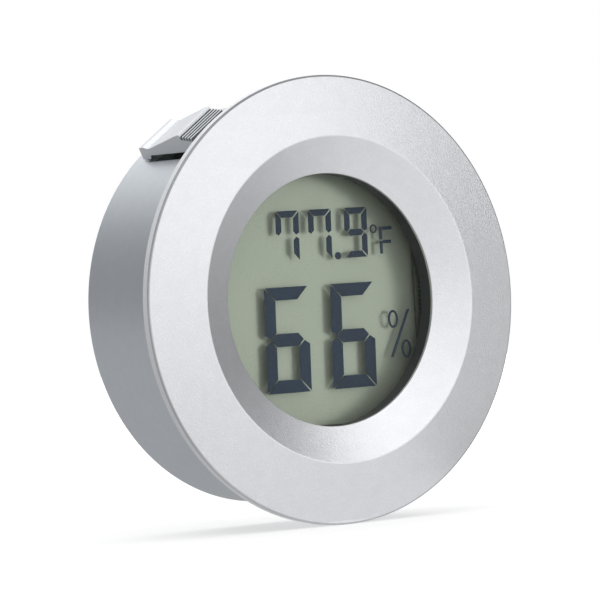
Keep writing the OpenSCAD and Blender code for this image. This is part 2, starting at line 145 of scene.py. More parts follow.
def turnedDisc(name, profile, columns=96):
    # an open profile from the Y axis, out and back to it, turned round it: x = r sin t, z = r cos t
    profile = np.array(profile, float)
    inner = profile[1:-1]
    t = np.arange(columns) * 2 * np.pi / columns
    grid = np.stack([inner[:, :1] * np.sin(t), inner[:, 1:2] + 0 * t,
                     inner[:, :1] * np.cos(t)], axis=-1).reshape(-1, 3)
    ends = [[0, profile[0, 1], 0], [0, profile[-1, 1], 0]]
    rows, count = len(inner), len(inner) * columns
    i, j = np.meshgrid(np.arange(rows - 1), np.arange(columns), indexing="ij")
    m = (j + 1) % columns
    k = i + 1
    quads = np.stack([i * columns + j, i * columns + m, k * columns + m, k * columns + j], axis=-1)
    j = np.arange(columns)
    m = (j + 1) % columns
    first = np.stack([0 * j + count, m, j], axis=-1)
    last = np.stack([0 * j + count + 1, (rows - 1) * columns + j, (rows - 1) * columns + m], axis=-1)
    faces = quads.reshape(-1, 4).tolist() + first.tolist() + last.tolist()
    piece = faceOutward(addMesh(name, np.vstack([grid, ends]), faces))
    piece.data.shade_smooth()
    return piece


def extruded(name, outline, half, columns, wrap):
    # a closed outline (depth, height) swept across from -half to +half; wrap(across, height) bends it
    outline = np.array(outline, float)
    count = len(outline)
    across = np.linspace(-half, half, columns)[:, None]
    height = wrap(across, outline[:, 1][None, :] + 0 * across)
    depth = outline[:, 0][None, :] + 0 * across
    grid = np.stack([across + 0 * height, depth, height], axis=-1).reshape(-1, 3)
    c, i = np.meshgrid(np.arange(columns - 1), np.arange(count), indexing="ij")
    j = (i + 1) % count
    sides = np.stack([c * count + i, c * count + j, (c + 1) * count + j, (c + 1) * count + i], axis=-1)
    last = (columns - 1) * count
    faces = sides.reshape(-1, 4).tolist() + [list(range(count))[::-1], list(range(last, last + count))]
    return faceOutward(addMesh(name, grid, faces))


def soften(piece, width, segments=2, angle=35):
    # a rounded edge wherever two faces meet at more than the angle
    bevel = piece.modifiers.new("roundedEdges", "BEVEL")
    bevel.width = width * mm
    bevel.segments = segments
    bevel.limit_method = "ANGLE"
    bevel.angle_limit = math.radians(angle)
    bevel.harden_normals = True
    piece.data.shade_smooth()
    return piece


def mergedCopy(node, name, width, weld=0.002, flat=0.5):
    # the node's own shape as one clean mesh with softened edges: points closer than the weld become one,
    # and faces within the flat angle become one
    source = nodes[node]
    mesh = source.data.copy()
    mesh.name = name
    work = bmesh.new()
    work.from_mesh(mesh)
    bmesh.ops.remove_doubles(work, verts=work.verts, dist=weld * mm)
    bmesh.ops.dissolve_limit(work, angle_limit=math.radians(flat), verts=work.verts, edges=work.edges)
    work.to_mesh(mesh)
    work.free()
    piece = bpy.data.objects.new(name, mesh)
    bpy.context.scene.collection.objects.link(piece)
    return soften(piece, width)


def joined(piece, others):
    # the piece with its modifiers applied, and the others' faces added to its mesh
    graph = bpy.context.evaluated_depsgraph_get()
    mesh = bpy.data.meshes.new_from_object(piece.evaluated_get(graph))
    piece.modifiers.clear()
    work = bmesh.new()
    work.from_mesh(mesh)
    for other in others:
        work.from_mesh(other.data)
        bpy.data.objects.remove(other)
    work.to_mesh(mesh)
    work.free()
    piece.data = mesh
    return piece


def cutAway(piece, tools):
    # takes the tool solids out of a piece and keeps the result
    for tool in tools:
        cut = piece.modifiers.new("cut", "BOOLEAN")
        cut.object = tool
        cut.solver = "EXACT"
    graph = bpy.context.evaluated_depsgraph_get()
    mesh = bpy.data.meshes.new_from_object(piece.evaluated_get(graph))
    piece.modifiers.clear()
    piece.data = mesh
    for tool in tools:
        bpy.data.objects.remove(tool)
    return piece


def boxBetween(name, low, high):
    # low + pick * (high - low) for the eight corners of a box, x fastest
    low, high = np.array(low, float), np.array(high, float)
    pick = np.array([[x, y, z] for z in (0, 1) for y in (0, 1) for x in (0, 1)])
    faces = [[0, 2, 3, 1], [4, 5, 7, 6], [0, 1, 5, 4], [2, 6, 7, 3], [0, 4, 6, 2], [1, 3, 7, 5]]
    return addMesh(name, low + pick * (high - low), faces)


def turnAbout(piece, degrees):
    # turns the mesh round the Y axis, clockwise from the front
    piece.data.transform(Matrix.Rotation(math.radians(degrees), 4, "Y"))
    return piece


class Socket:
    # an output socket whose operators add Math nodes
    def __init__(self, maker, socket):
        self.maker, self.socket = maker, socket

    def math(self, operation, *others):
        values = [self, *others]
        return self.maker.add("Math", {"operation": operation}, dict(enumerate(values)))[0]

    def __add__(self, other):
        return self.math("ADD", other)

    def __sub__(self, other):
        return self.math("SUBTRACT", other)

    def __rsub__(self, other):
        return self.maker.add("Math", {"operation": "SUBTRACT"}, {0: other, 1: self})[0]

    def __mul__(self, other):
        return self.math("MULTIPLY", other)

    def __truediv__(self, other):
        return self.math("DIVIDE", other)

    def __gt__(self, other):
        return self.math("GREATER_THAN", other)

    def __lt__(self, other):
        return self.math("LESS_THAN", other)

    __radd__, __rmul__ = __add__, __mul__

    def __abs__(self):
        return self.math("ABSOLUTE")

    def fraction(self):
        return self.math("FRACT")

    def power(self, other):
        return self.math("POWER", other)

    def limited(self):
        return self.maker.add("Clamp", {}, {"Value": self})[0]


class Nodes:
    # a node tree: add() makes any node from its type, its settings and the values or links of its sockets
    def __init__(self, tree):
        self.tree = tree

    def add(self, kind, settings=None, values=None):
        node = self.tree.nodes.new("ShaderNode" + kind)
        for key, value in (settings or {}).items():
            setattr(node, key, value)
        self.feed(node, values or {})
        return [Socket(self, s) for s in node.outputs if s.enabled]

    def feed(self, node, values):
        for key, value in values.items():
            socket = node.inputs[key]
            if isinstance(value, Socket):
                self.tree.links.new(value.socket, socket)
            elif isinstance(value, (tuple, list)) and len(value) == 3 and socket.type == "RGBA":
                socket.default_value = (*value, 1)
            else:
                socket.default_value = value

    def place(self, scale=(1, 1, 1), turn=(0, 0, 0)):
        # object coordinates in millimetres
        spot = next(s for s in self.add("TexCoord") if s.socket.name == "Object")
        size = tuple(s / mm for s in scale)
        return self.add("Mapping", {}, {"Vector": spot, "Scale": size, "Rotation": turn})[0]

    def axes(self):
        # x, y and z in millimetres as three numbers
        return self.add("SeparateXYZ", {}, {"Vector": self.place()})

    def grain(self, period, detail=2, rough=0.5, where=None):
        # noise between 0 and 1 whose features are about one period wide, in millimetres
        where = where or self.place()
        return self.add("TexNoise", {}, {"Vector": where, "Scale": 1 / period, "Detail": detail,
                                         "Roughness": rough})[0]

    def blend(self, factor, low, high):
        # the colour that lies between low and high by the factor
        node = self.add("Mix", {"data_type": "RGBA"})[0].socket.node
        colours = [s for s in node.inputs if s.type == "RGBA"]
        for socket, value in zip(colours, (low, high)):
            if isinstance(value, Socket):
                self.tree.links.new(value.socket, socket)
            else:
                socket.default_value = (*value, 1)
        self.feed(node, {0: factor})
        return Socket(self, next(s for s in node.outputs if s.type == "RGBA"))

    def bump(self, height, depth, strength=1.0):
        # height 0 to 1 over a depth in millimetres
        return self.add("Bump", {}, {"Height": height, "Distance": depth * mm, "Strength": strength})[0]

    def seen(self):
        # 1 for what the camera, mirrors and glass look at, 0 for the light that falls on things
        rays = {s.socket.name: s for s in self.add("LightPath")}
        either = rays["Is Camera Ray"].math("MAXIMUM", rays["Is Glossy Ray"])
        return either.math("MAXIMUM", rays["Is Transmission Ray"])


class Finish(Nodes):
    # one material, whose surface set() feeds
    def __init__(self, name):
        self.material = bpy.data.materials.new(name)
        self.material.use_nodes = True
        super().__init__(self.material.node_tree)
        self.surface = self.tree.nodes["Principled BSDF"]
        self.output = self.tree.nodes["Material Output"]

    def set(self, **values):
        self.feed(self.surface, {key.replace("_", " "): value for key, value in values.items()})
        return self

    def mixWithClear(self, share):
        # the surface by its share, and the rest of the light goes straight through
        clear, surface = self.add("BsdfTransparent")[0], Socket(self, self.surface.outputs[0])
        self.feed(self.output, {"Surface": self.add("MixShader", {}, {0: share, 1: clear, 2: surface})[0]})


def linear(*colour):
    # a colour, 0 to 255, as linear light
    c = np.array(colour) / 255
    return tuple(float(v) for v in np.where(c <= 0.04045, c / 12.92, ((c + 0.055) / 1.055) ** 2.4))


def paint(pieces, finish):
    # gives pieces, or nodes by name, one finish
    for piece in pieces:
        piece = nodes[piece] if isinstance(piece, str) else piece
        piece.data.materials.clear()
        piece.data.materials.append(finish.material)


# the rim values place and colour a painted dark reflection, a thin line on the rim's front corner, heavier at
# the top
silver = dict(bright=linear(240, 241, 244), dull=linear(216, 218, 222), rough=0.36, metal=0.9, pit=0.17,
              pitDepth=0.034, fleck=0.2, fleckSize=0.2, ripple=1.3, rimShadeShare=0.35, rimTopShadeShare=0.45, rimR=22.28,
              rimY=-0.76, rimWidth=0.08, sideR=22.36, sideY=-0.95, sideWidth=0.1, rimShadeColour=linear(60, 62, 66))


def blastedSilver():
    # bead-blasted silver: shallow pits, scattered bright flecks, a painted dark reflection as a thin line on
    # the rim's front corner that is heaviest at the top, and a duller side
    f = Finish("blastedSilver")
    s = silver
    pits = f.grain(s["pit"], 3, 0.7)
    wide = f.grain(s["ripple"], 2)
    cell = f.add("TexVoronoi", {"feature": "F1"}, {"Vector": f.place(), "Scale": 1 / s["fleck"]})[0]
    fleck = (cell < s["fleckSize"]) * (wide > 0.45)
    tone = (pits * 0.75 + wide * 0.25).limited()
    body = f.blend(tone, s["dull"], s["bright"])
    body = f.blend(fleck * 0.6, body, (1, 1, 1))
    x, y, z = f.axes()
    radius = (x * x + z * z).power(0.5)
    # painted dark reflection: a thin dark line on the rim's front corner that stands in for its shade,
    # heavier towards the top
    corner = ((radius - s["rimR"]) / s["rimWidth"]).limited() * ((s["rimY"] - y) / s["rimWidth"]).limited()
    body = f.blend(corner * ((z * 0.05).limited() * s["rimTopShadeShare"] + s["rimShadeShare"]), body, s["rimShadeColour"])
    side = ((radius - s["sideR"]) / s["sideWidth"]).limited() * ((y - s["sideY"]) / s["sideWidth"]).limited()
    f.set(Base_Color=body, Metallic=s["metal"] - side * 0.45,
          Roughness=s["rough"] + (pits - 0.5) * 0.18 - fleck * 0.03 + side * 0.3,
          Normal=f.bump(pits * 0.85 + wide * 0.15, s["pitDepth"], 1.0))
    return f


def satinSilver(name, bright, dull, rough, metal=0.85):
    # smoother silver paint on moulded plastic, with a soft orange-peel ripple
    f = Finish(name)
    fine = f.grain(0.12, 2, 0.6)
    wide = f.grain(0.9, 2)
    f.set(Base_Color=f.blend((fine * 0.5 + wide * 0.5).limited(), dull, bright), Metallic=metal,
          Roughness=rough + (fine - 0.5) * 0.10, Normal=f.bump(fine * 0.5 + wide * 0.5, 0.006, 0.4))
    return f


def plasticFinish(name, colour, rough, speck=0.25, depth=0.006, **extra):
    # moulded plastic or rubber with a light spark-eroded texture
    f = Finish(name)
    fine = f.grain(speck, 3, 0.6)
    low = tuple(c * 0.86 for c in colour)
    f.set(Base_Color=f.blend(fine, low, colour), Roughness=rough + (fine - 0.5) * 0.12,
          Normal=f.bump(fine, depth, 0.4), **extra)
    return f


def metalFinish(name, colour, rough, stretch=(1, 1, 1)):
    # drawn or plated metal: noise stretched into fine lines
    f = Finish(name)
    lines = f.grain(0.14, 3, 0.6, f.place(scale=stretch))
    low = tuple(c * 0.82 for c in colour)
    f.set(Base_Color=f.blend(lines, low, colour), Metallic=1.0, Roughness=rough + (lines - 0.5) * 0.14,
          Normal=f.bump(lines, 0.003, 0.35))
    return f


def lcdBack():
    # grey-green foil behind the display: half mirror, half diffuser, with a fine upright grain
    f = Finish("lcdBack")
    foil = f.grain(0.06, 2, 0.5, f.place(scale=(1, 1, 0.3)))
    cloud = f.grain(9, 1)
    tone = (foil * 0.2 + cloud * 0.8).limited()
    f.set(Base_Color=f.blend(tone, linear(156, 167, 150), linear(164, 174, 157)), Metallic=0.5,
          Roughness=0.28 + (foil - 0.5) * 0.04, Normal=f.bump(foil, 0.0005, 0.1))
    return f


def lcdInk():
    # the dark blue-grey of the switched areas, a little bluer in places
    f = Finish("lcdInk")
    cloud = f.grain(4.5, 1)
    f.set(Base_Color=f.blend(cloud, linear(20, 30, 50), linear(22, 50, 72)),
          Roughness=0.6 + (cloud - 0.5) * 0.1, Specular_IOR_Level=0.2)
    return f


def clearLayer(name, tint, rough, share):
    # a clear sheet: mostly see-through, with a share of sheen
    f = Finish(name)
    film = f.grain(0.5, 2)
    f.set(Base_Color=tint, Roughness=rough + (film - 0.5) * 0.06, Alpha=share)
    return f


def boardFinish():
    # green solder mask over copper lines, with bare pads between them
    f = Finish("boardFinish")
    brick = f.add("TexBrick", {"offset": 0.5}, {
        "Vector": f.place(turn=(math.radians(90), 0, 0)), "Scale": 0.55, "Mortar Size": 0.05,
        "Color1": linear(24, 92, 54), "Color2": linear(20, 82, 48), "Mortar": linear(44, 128, 76)})
    fine = f.grain(0.3, 2)
    f.set(Base_Color=brick[0], Roughness=0.38 + (fine - 0.5) * 0.1, Normal=f.bump(brick[1], 0.03, 0.5))
    return f


def combFinish():
    # interlaced comb electrodes on white ceramic
    f = Finish("combFinish")
    wave = f.add("TexWave", {"bands_direction": "Z"}, {"Vector": f.place(), "Scale": 0.55})[1]
    bars = wave > 0.55
    f.set(Base_Color=f.blend(bars, linear(232, 233, 228), linear(160, 140, 96)), Roughness=0.4 + bars * -0.12)
    return f


faceSilver = blastedSilver()
barrelSilver = satinSilver("barrelSilver", linear(214, 219, 224), linear(198, 204, 210), 0.42)
coverSilver = satinSilver("coverSilver", linear(208, 212, 217), linear(194, 199, 205), 0.46)
ringBlack = plasticFinish("ringBlack", linear(56, 57, 60), 0.5)
inkFinish = lcdInk()
backFinish = lcdBack()
filmFinish = clearLayer("filmFinish", linear(226, 230, 220), 0.28, 0.02)
frameWhite = plasticFinish("frameWhite", linear(232, 232, 228), 0.45)
zebraGrey = plasticFinish("zebraGrey", linear(110, 110, 116), 0.7)
boardGreen = boardFinish()
epoxyBlack = plasticFinish("epoxyBlack", linear(26, 26, 28), 0.22, 0.6, 0.01, Coat_Weight=0.3)
ceramicTan = plasticFinish("ceramicTan", linear(176, 148, 112), 0.5)
switchBlack = plasticFinish("switchBlack", linear(38, 38, 41), 0.5)
plungerRed = plasticFinish("plungerRed", linear(178, 50, 44), 0.45)
screwSteel = metalFinish("screwSteel", linear(206, 206, 210), 0.32)
canMetal = metalFinish("canMetal", linear(216, 216, 220), 0.22, (1, 0.1, 0.1))
nickel = metalFinish("nickel", linear(222, 219, 210), 0.26, (1, 1, 0.15))
cellSteel = metalFinish("cellSteel", linear(222, 224, 228), 0.24, (0.2, 1, 1))
buttonGrey = plasticFinish("buttonGrey", linear(64, 66, 71), 0.62, 0.3, 0.01)
sensorComb = combFinish()
print("finishes ready")


bezel = dict(windowEdge=0.09, crestRound=0.35, frontRound=0.16, backRound=0.12, lip=0.3, crest=16.35,
             crestInset=0.014, windowR=12.67, windowY=-0.44, flangeT=1.0, barrelFit=0.05, barrelRound=0.04,
             grooveR=19.2, grooveY=-0.38, wallEdge=0.02)


def makeBezel():
    # the turned profile: window edge, cone, crest, sloping flange, rim, flat back and the barrel's groove
    b = bezel
    low, high = edges("bezel")
    flangeR, barrelR = high[0], edges("barrel")[1][0] + b["barrelFit"]
    under = b["windowY"] + b["lip"]
    return turnedRing("bezelShell", [
        (b["windowR"], under, 0), (b["windowR"], b["windowY"], b["windowEdge"]),
        (b["crest"], low[1] - b["crestInset"], b["crestRound"]), (flangeR, -b["flangeT"], b["frontRound"]),
        (flangeR, 0, b["backRound"]), (barrelR, 0, b["barrelRound"]), (barrelR, b["grooveY"], 0),
        (b["grooveR"], b["grooveY"], 0), (b["grooveR"], under, 0)], columns=288, steps=8)


bezelShell = makeBezel()
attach(bezelShell, "housing")
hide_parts("bezel")
paint([bezelShell], faceSilver)


def makeWindowRing():
    # a plain wall with a rectangular profile
    low, high = edges("window_ring")
    inner, outer, edge = bezel["windowR"], high[0], bezel["wallEdge"]
    return turnedRing("windowWall", [(inner, low[1], edge), (outer, low[1], edge), (outer, high[1], edge),
                                     (inner, high[1], edge)], columns=240, steps=2)


windowWall = makeWindowRing()
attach(windowWall, "housing")
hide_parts("window_ring")
paint([windowWall], ringBlack)
print("bezel and window ring ready")


clipTurns = (-35, 145)
barrel = dict(wall=1.0, frontRound=0.05, rearRound=1.0, mouthRound=0.02, ledgeTop=1.2, ledgeFoot=2.0,
              ledgeReach=0.95, pocketY=(0.9, 10.4), pocketHalf=2.7, stemY=(10.3, 11.4), stemHalf=2.0,
              toolR=(18.0, 23.0))


def pocketTools(turn):
    # the wide pocket under a clip's arm and the narrow one round its stem
    b = barrel
    tools = []
    for half, (front, rear) in ((b["pocketHalf"], b["pocketY"]), (b["stemHalf"], b["stemY"])):
        tools.append(turnAbout(boxBetween("pocketTool", [-half, front, b["toolR"][0]],
                                          [half, rear, b["toolR"][1]]), turn))
    return tools


def makeBarrel():
    # the turned tube with a ledge for the rear cover, less the pockets of both clips
    b = barrel
    low, high = edges("barrel")
    outer, rear = high[0], high[1]
    inner = outer - b["wall"]
    ledge = inner - b["ledgeReach"]
    corners = [
        (inner, low[1], 0), (outer, low[1], b["frontRound"]), (outer, rear, b["rearRound"]),
        (inner, rear, b["mouthRound"]), (inner, rear - b["ledgeTop"], 0), (ledge, rear - b["ledgeTop"], 0),
        (ledge, rear - b["ledgeFoot"], 0), (inner, rear - b["ledgeFoot"], 0),
    ]
    piece = turnedRing("barrelShell", corners, columns=288, steps=10)
    piece = cutAway(piece, [tool for turn in clipTurns for tool in pocketTools(turn)])
    piece.data.shade_smooth()
    piece.data.set_sharp_from_angle(angle=math.radians(40))
    return piece


barrelShell = makeBarrel()
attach(barrelShell, "housing")
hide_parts("barrel")
paint([barrelShell], barrelSilver)
print("barrel ready")


display = dict(panelSunk=0.7, coverGap=0.03, groundEdge=0.05, sealSide=0.45, sealEnd=0.2)


def makeLcdBack():
    # the rear glass and reflector as one slab whose front is the reflecting plane
    low, high = edges("lcd_reflector")
    low[1] = edges("lcd_rear_glass")[0][1] + display["panelSunk"]
    return soften(boxBetween("lcdPanel", low, high), display["groundEdge"])


lcdPanel = makeLcdBack()
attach(lcdPanel, "housing")
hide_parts("lcd_reflector", "lcd_rear_glass")
paint([lcdPanel], backFinish)


def makeLcdFront():
    # the polarizer and front glass as one clear slab
    front = edges("lcd_polarizer")[0][1]
    low, high = edges("lcd_front_glass")
    low[1], high[1] = front, high[1] - display["coverGap"]
    return soften(boxBetween("lcdCover", low, high), display["groundEdge"])


lcdCover = makeLcdFront()
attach(lcdCover, "housing")
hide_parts("lcd_polarizer", "lcd_front_glass")
paint([lcdCover], filmFinish)

# in millimetres: (x, z, radius), (x, z, radii, stroke), (x, z, width, height, stroke), then the percent sign
symbols = dict(shift=0.764, dot=(2.26, 4.36, 0.38), degree=(6.87, 6.87, 0.44, 0.46, 0.17),
               letter=(7.6, 4.3, 1.6, 2.75, 0.34), letterGap=0.08, letterMiddle=0.9,
               rings=[(8.68, -2.40, 0.62, 0.92), (10.16, -5.49, 0.62, 0.92)], ringStroke=0.24,
               slash=[(8.14, -6.28), (8.46, -6.28), (10.82, -1.50), (10.50, -1.50)])


def flatPlate(name, outline, depthFrom, depthTo):
    # a closed outline (x, z) as a thin plate from one depth to the other
    outline = np.array(outline, float)
    count = len(outline)
    front = np.column_stack([outline[:, 0], np.full(count, depthFrom), outline[:, 1]])
    rear = np.column_stack([outline[:, 0], np.full(count, depthTo), outline[:, 1]])
    i = np.arange(count)
    j = (i + 1) % count
    sides = np.stack([i, j, j + count, i + count], axis=-1).tolist()
    return faceOutward(addMesh(name, np.vstack([front, rear]),
                               sides + [list(range(count))[::-1], list(range(count, 2 * count))]))


def flatRing(name, x, z, radiusX, radiusZ, stroke, depthFrom, depthTo, columns=64):
    # an oval band, x = a cos t and z = b sin t: the outer and the inner oval, on the front and on the rear
    t = np.arange(columns) * 2 * np.pi / columns
    loops = [(radiusX, radiusZ, depthFrom), (radiusX, radiusZ, depthTo),
             (radiusX - stroke, radiusZ - stroke, depthTo), (radiusX - stroke, radiusZ - stroke, depthFrom)]
    grid = np.stack([np.column_stack([x + rx * np.cos(t), np.full(columns, y), z + rz * np.sin(t)])
                     for rx, rz, y in loops])
    i, j = np.meshgrid(np.arange(4), np.arange(columns), indexing="ij")
    k, m = (i + 1) % 4, (j + 1) % columns
    quads = np.stack([i * columns + j, i * columns + m, k * columns + m, k * columns + j], axis=-1)
    return faceOutward(addMesh(name, grid.reshape(-1, 3), quads.reshape(-1, 4).tolist()))


def makeSymbols():
    # decimal point, degree ring, the letter F from four bars, and the percent sign
    s = symbols
    low, high = edges("lcd_symbols")
    depth = (low[1], high[1])
    t = np.arange(40) * 2 * np.pi / 40
    x, z, r = s["dot"]
    parts = [flatPlate("dot", np.column_stack([x + r * np.cos(t), z + r * np.sin(t)]), *depth)]
    parts.append(flatRing("degree", *s["degree"], *depth))
    x, z, w, h, k = s["letter"]
    g, m = s["letterGap"], s["letterMiddle"]
    bars = [(x + k + g, z + h - k, x + w, z + h), (x + k + g, z + h / 2 - k, x + w * m, z + h / 2),
            (x, z + h / 2 + g, x + k, z + h), (x, z, x + k, z + h / 2 - g)]
    parts += [flatPlate("bar", [(a, b), (c, b), (c, d), (a, d)], *depth) for a, b, c, d in bars]
    parts += [flatRing("ring", *ring, s["ringStroke"], *depth) for ring in s["rings"]]
    piece = joined(flatPlate("symbolInk", s["slash"], *depth), parts)
    piece.data.transform(Matrix.Translation((s["shift"] * mm, 0, 0)))
    return piece


symbolInk = makeSymbols()
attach(symbolInk, "housing")
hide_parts("lcd_symbols")
paint(["digits_temperature", "digits_humidity", symbolInk], inkFinish)


def makeSeal():
    # a slim frame of four bars round the liquid crystal, coloured dark as painted shade to match the shadow
    # beside the window wall
    low, high = edges("lcd_seal")
    side, end = display["sealSide"], display["sealEnd"]
    spans = [(low[0], low[0] + side, low[2], high[2]), (high[0] - side, high[0], low[2], high[2]),
             (low[0], high[0], low[2], low[2] + end), (low[0], high[0], high[2] - end, high[2])]
    bars = [boxBetween("sealBar", (a, low[1], c), (b, high[1], d)) for a, b, c, d in spans]
    bars[0].name = "sealFrame"
    return joined(bars[0], bars[1:])


sealFrame = makeSeal()
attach(sealFrame, "housing")
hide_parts("lcd_seal")
# painted shade: the seal's dark colour stands in for the shadow that falls beside the window wall
paint([sealFrame], plasticFinish("sealPaintedShade", linear(66, 69, 64), 0.5))
paint(["lcd_frame"], frameWhite)
paint(["zebra_strip"], zebraGrey)
print("display ready")


clip = dict(width=4.8, footY=11.46, footR=20.36, footRound=0.05, tipY=11.06, tipR=21.62, tipRound=0.18,
            lipY=10.35, lipR=21.67, lipRound=0.5, dipY=9.62, dipR=21.38, dipRound=1.6, riseY=4.1,
            riseR=22.53, riseRound=2.5, crestY=3.1, crestR=22.69, crestRound=0.05, underR=20.62,
            underRound=0.15, legY=10.02, legSlant=0.2, crestSlant=0.08, wrapBelow=0.1, edge=0.045)
teeth = dict(count=4, firstGroove=0.36, pitch=0.4, land=0.2, depth=0.32, topR=22.46, slope=0.2, wall=0.03,
             round=0.03, grooveRound=0.02, firstSlant=0.04, slant=0.02)
clipHinge = dict(stemWidth=3.6, stemY=10.4, stemDepth=0.8, stemSunk=0.02, pinR=0.28, pinReach=0.8, pinY=10.8,
                 pinAxisR=19.65)
# groove is the colour of the painted shade in the grooves between the grip teeth
clipTones = dict(bright=(226, 228, 231), dull=(210, 213, 217), groove=(98, 102, 104), rough=0.42, metal=0.75,
                 crestMargin=0.04, grooveMargin=0.06, noseY=1)


def clipTeeth():
    # flat lands with a narrow groove after each, stepping down towards the flange
    t = teeth
    out = []
    for i in range(t["count"]):
        y = clip["crestY"] - t["firstGroove"] - i * t["pitch"]
        top = t["topR"] - t["slope"] * (clip["crestY"] - y)
        out += [(y, top, t["round"]), (y - t["land"], top - t["wall"], t["round"])]
        if i < t["count"] - 1:
            out += [(y - t["land"] - t["wall"], top - t["depth"], t["grooveRound"]),
                    (y - t["pitch"] + t["slant"], top - t["depth"] - t["wall"], t["grooveRound"])]
    return out


def clipOutline():
    # side view (depth, radius): foot, lip, dip, long rise to the crest, a row of teeth, nose and underside
    c, t = clip, teeth
    grooveR = t["topR"] - t["depth"]
    noseY = c["crestY"] - t["firstGroove"] - t["count"] * t["pitch"]
    front = [
        (c["footY"], c["footR"], c["footRound"]), (c["tipY"], c["tipR"], c["tipRound"]),
        (c["lipY"], c["lipR"], c["lipRound"]), (c["dipY"], c["dipR"], c["dipRound"]),
        (c["riseY"], c["riseR"], c["riseRound"]), (c["crestY"], c["crestR"], c["crestRound"]),
        (c["crestY"] - c["crestSlant"], grooveR, t["round"]),
        (c["crestY"] - t["firstGroove"] + t["firstSlant"], grooveR, t["round"]),
    ]
    under = [
        (noseY, c["underR"], c["footRound"]), (c["legY"] - c["legSlant"], c["underR"], c["underRound"]),
        (c["legY"], c["footR"], t["round"]),
    ]
    return roundCorners(front + clipTeeth() + under, 4)


def wrapFoot(across, height):
    # what lies below the arm follows the barrel: at a given across it drops by r - sqrt(r^2 - across^2)
    r = clip["footR"]
    drop = r - np.sqrt(r ** 2 - across ** 2)
    return np.where(height < clip["underR"] - clip["wrapBelow"], height - drop, height)


def makeClip(name, turn):
    # the arm, the stem that goes into the barrel and the pin it turns on
    h = clipHinge
    arm = extruded(name, clipOutline(), clip["width"] / 2, 13, wrapFoot)
    soften(arm, clip["edge"], 2, 30)
    half = h["stemWidth"] / 2
    stem = boxBetween("stem", [-half, h["stemY"], h["pinAxisR"]],
                      [half, h["stemY"] + h["stemDepth"], clip["footR"] + h["stemSunk"]])
    reach = half + h["pinReach"]
    pin = turnedDisc("pin", [(0, -reach), (h["pinR"], -reach), (h["pinR"], reach), (0, reach)], columns=32)
    pin.data.transform(Matrix.Translation((0, h["pinY"] * mm, h["pinAxisR"] * mm))
                       @ Matrix.Rotation(math.radians(90), 4, "Z"))
    return turnAbout(joined(arm, [stem, pin]), turn)


def clipPaint():
    # satin silver paint, with painted shade in the grooves between the grip teeth and a lighter painted shade
    # over the toothed band past the crest
    t, tones = teeth, clipTones
    f = Finish("clipSilver")
    fine = f.grain(0.12, 2, 0.6)
    wide = f.grain(0.9, 2)
    x, y, z = f.axes()
    body = f.blend((fine * 0.5 + wide * 0.5).limited(), linear(*tones["dull"]), linear(*tones["bright"]))
    turn = math.radians(clipTurns[0])
    height = abs(x * math.sin(turn) + z * math.cos(turn))
    start = (clip["crestY"] - t["firstGroove"] - y) / t["pitch"]
    groove = (start.fraction() > t["land"] / t["pitch"]) * (start > 0)
    pastCrest = y < clip["crestY"] - tones["crestMargin"]
    bottom = t["topR"] - t["depth"] - tones["grooveMargin"] - (clip["crestY"] - y) * t["slope"]
    toothed = (height > bottom) * (y > tones["noseY"])
    # painted shade: the grooves and the first groove after the crest go dark, and the toothed band past the
    # crest is shaded lightly
    grooveShade = (groove + (start < 0) * pastCrest).limited() * toothed
    body = f.blend((grooveShade * (fine * 0.2 + 0.75) + pastCrest * toothed * 0.3).limited(), body,
                   linear(*tones["groove"]))
    f.set(Base_Color=body, Metallic=tones["metal"] - grooveShade * 0.5,
          Roughness=tones["rough"] + (fine - 0.5) * 0.10 + grooveShade * 0.3,
          Normal=f.bump(fine * 0.5 + wide * 0.5, 0.006, 0.4))
    return f


clipFinish = clipPaint()
for name, node, body, turn in (("clipUpper", "snap_clip_upper", "clip_upper", clipTurns[0]),
                               ("clipLower", "snap_clip_lower", "clip_lower", clipTurns[1])):
    piece = makeClip(name, turn)
    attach(piece, body)
    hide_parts(node)
    paint([piece], clipFinish)
print("clips ready")


# node, piece, body, slot, edge width in millimetres, finish
softened = [
    ("back_cover", "rearCover", "housing", "cover_silver", 0.10, coverSilver),
    ("battery_door", "doorPanel", "door", "cover_silver", 0.12, coverSilver),
    ("door_contact", "doorBridge", "door", "nickel", 0.03, nickel),
    ("unit_button", "buttonCap", "unit_button", "button_grey", 0.18, buttonGrey),
    ("back_screw_1", "rearScrewLeft", "housing", "screw_steel", 0.06, screwSteel),
    ("back_screw_2", "rearScrewRight", "housing", "screw_steel", 0.06, screwSteel),
    ("cell_left", "cellLeft", "housing", "cell_steel", 0.08, cellSteel),
    ("cell_right", "cellRight", "housing", "cell_steel", 0.08, cellSteel),
]
for node, name, body, slotName, width, finish in softened:
    piece = mergedCopy(node, name, width)
    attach(piece, body)
    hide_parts(node)
    paint([piece], finish)

paint(["circuit_board"], boardGreen)
paint(["pcb_screw_1", "pcb_screw_2", "pcb_screw_3"], screwSteel)
paint(["chip_cover", "thermistor"], epoxyBlack)
paint(["crystal"], canMetal)
paint(["capacitor_1", "capacitor_2", "capacitor_3"], ceramicTan)
paint(["tact_switch"], switchBlack)
paint(["switch_plunger"], plungerRed)
paint(["humidity_sensor"], sensorComb)
paint(["contact_plus", "contact_minus"], nickel)
print("rear and inside ready")


studio = dict(tentR=800, floorRings=(0.5, 60, 200, 400, 700), floorTone=0.42, glowNear=0.56, glowFar=1.05,
              glowStart=60, glowEnd=330, cardLift=0.4, worldSoft=0.55, panelColumns=25, panelRows=9,
              floorColumns=97, silkWeave=180, floorGrain=400)

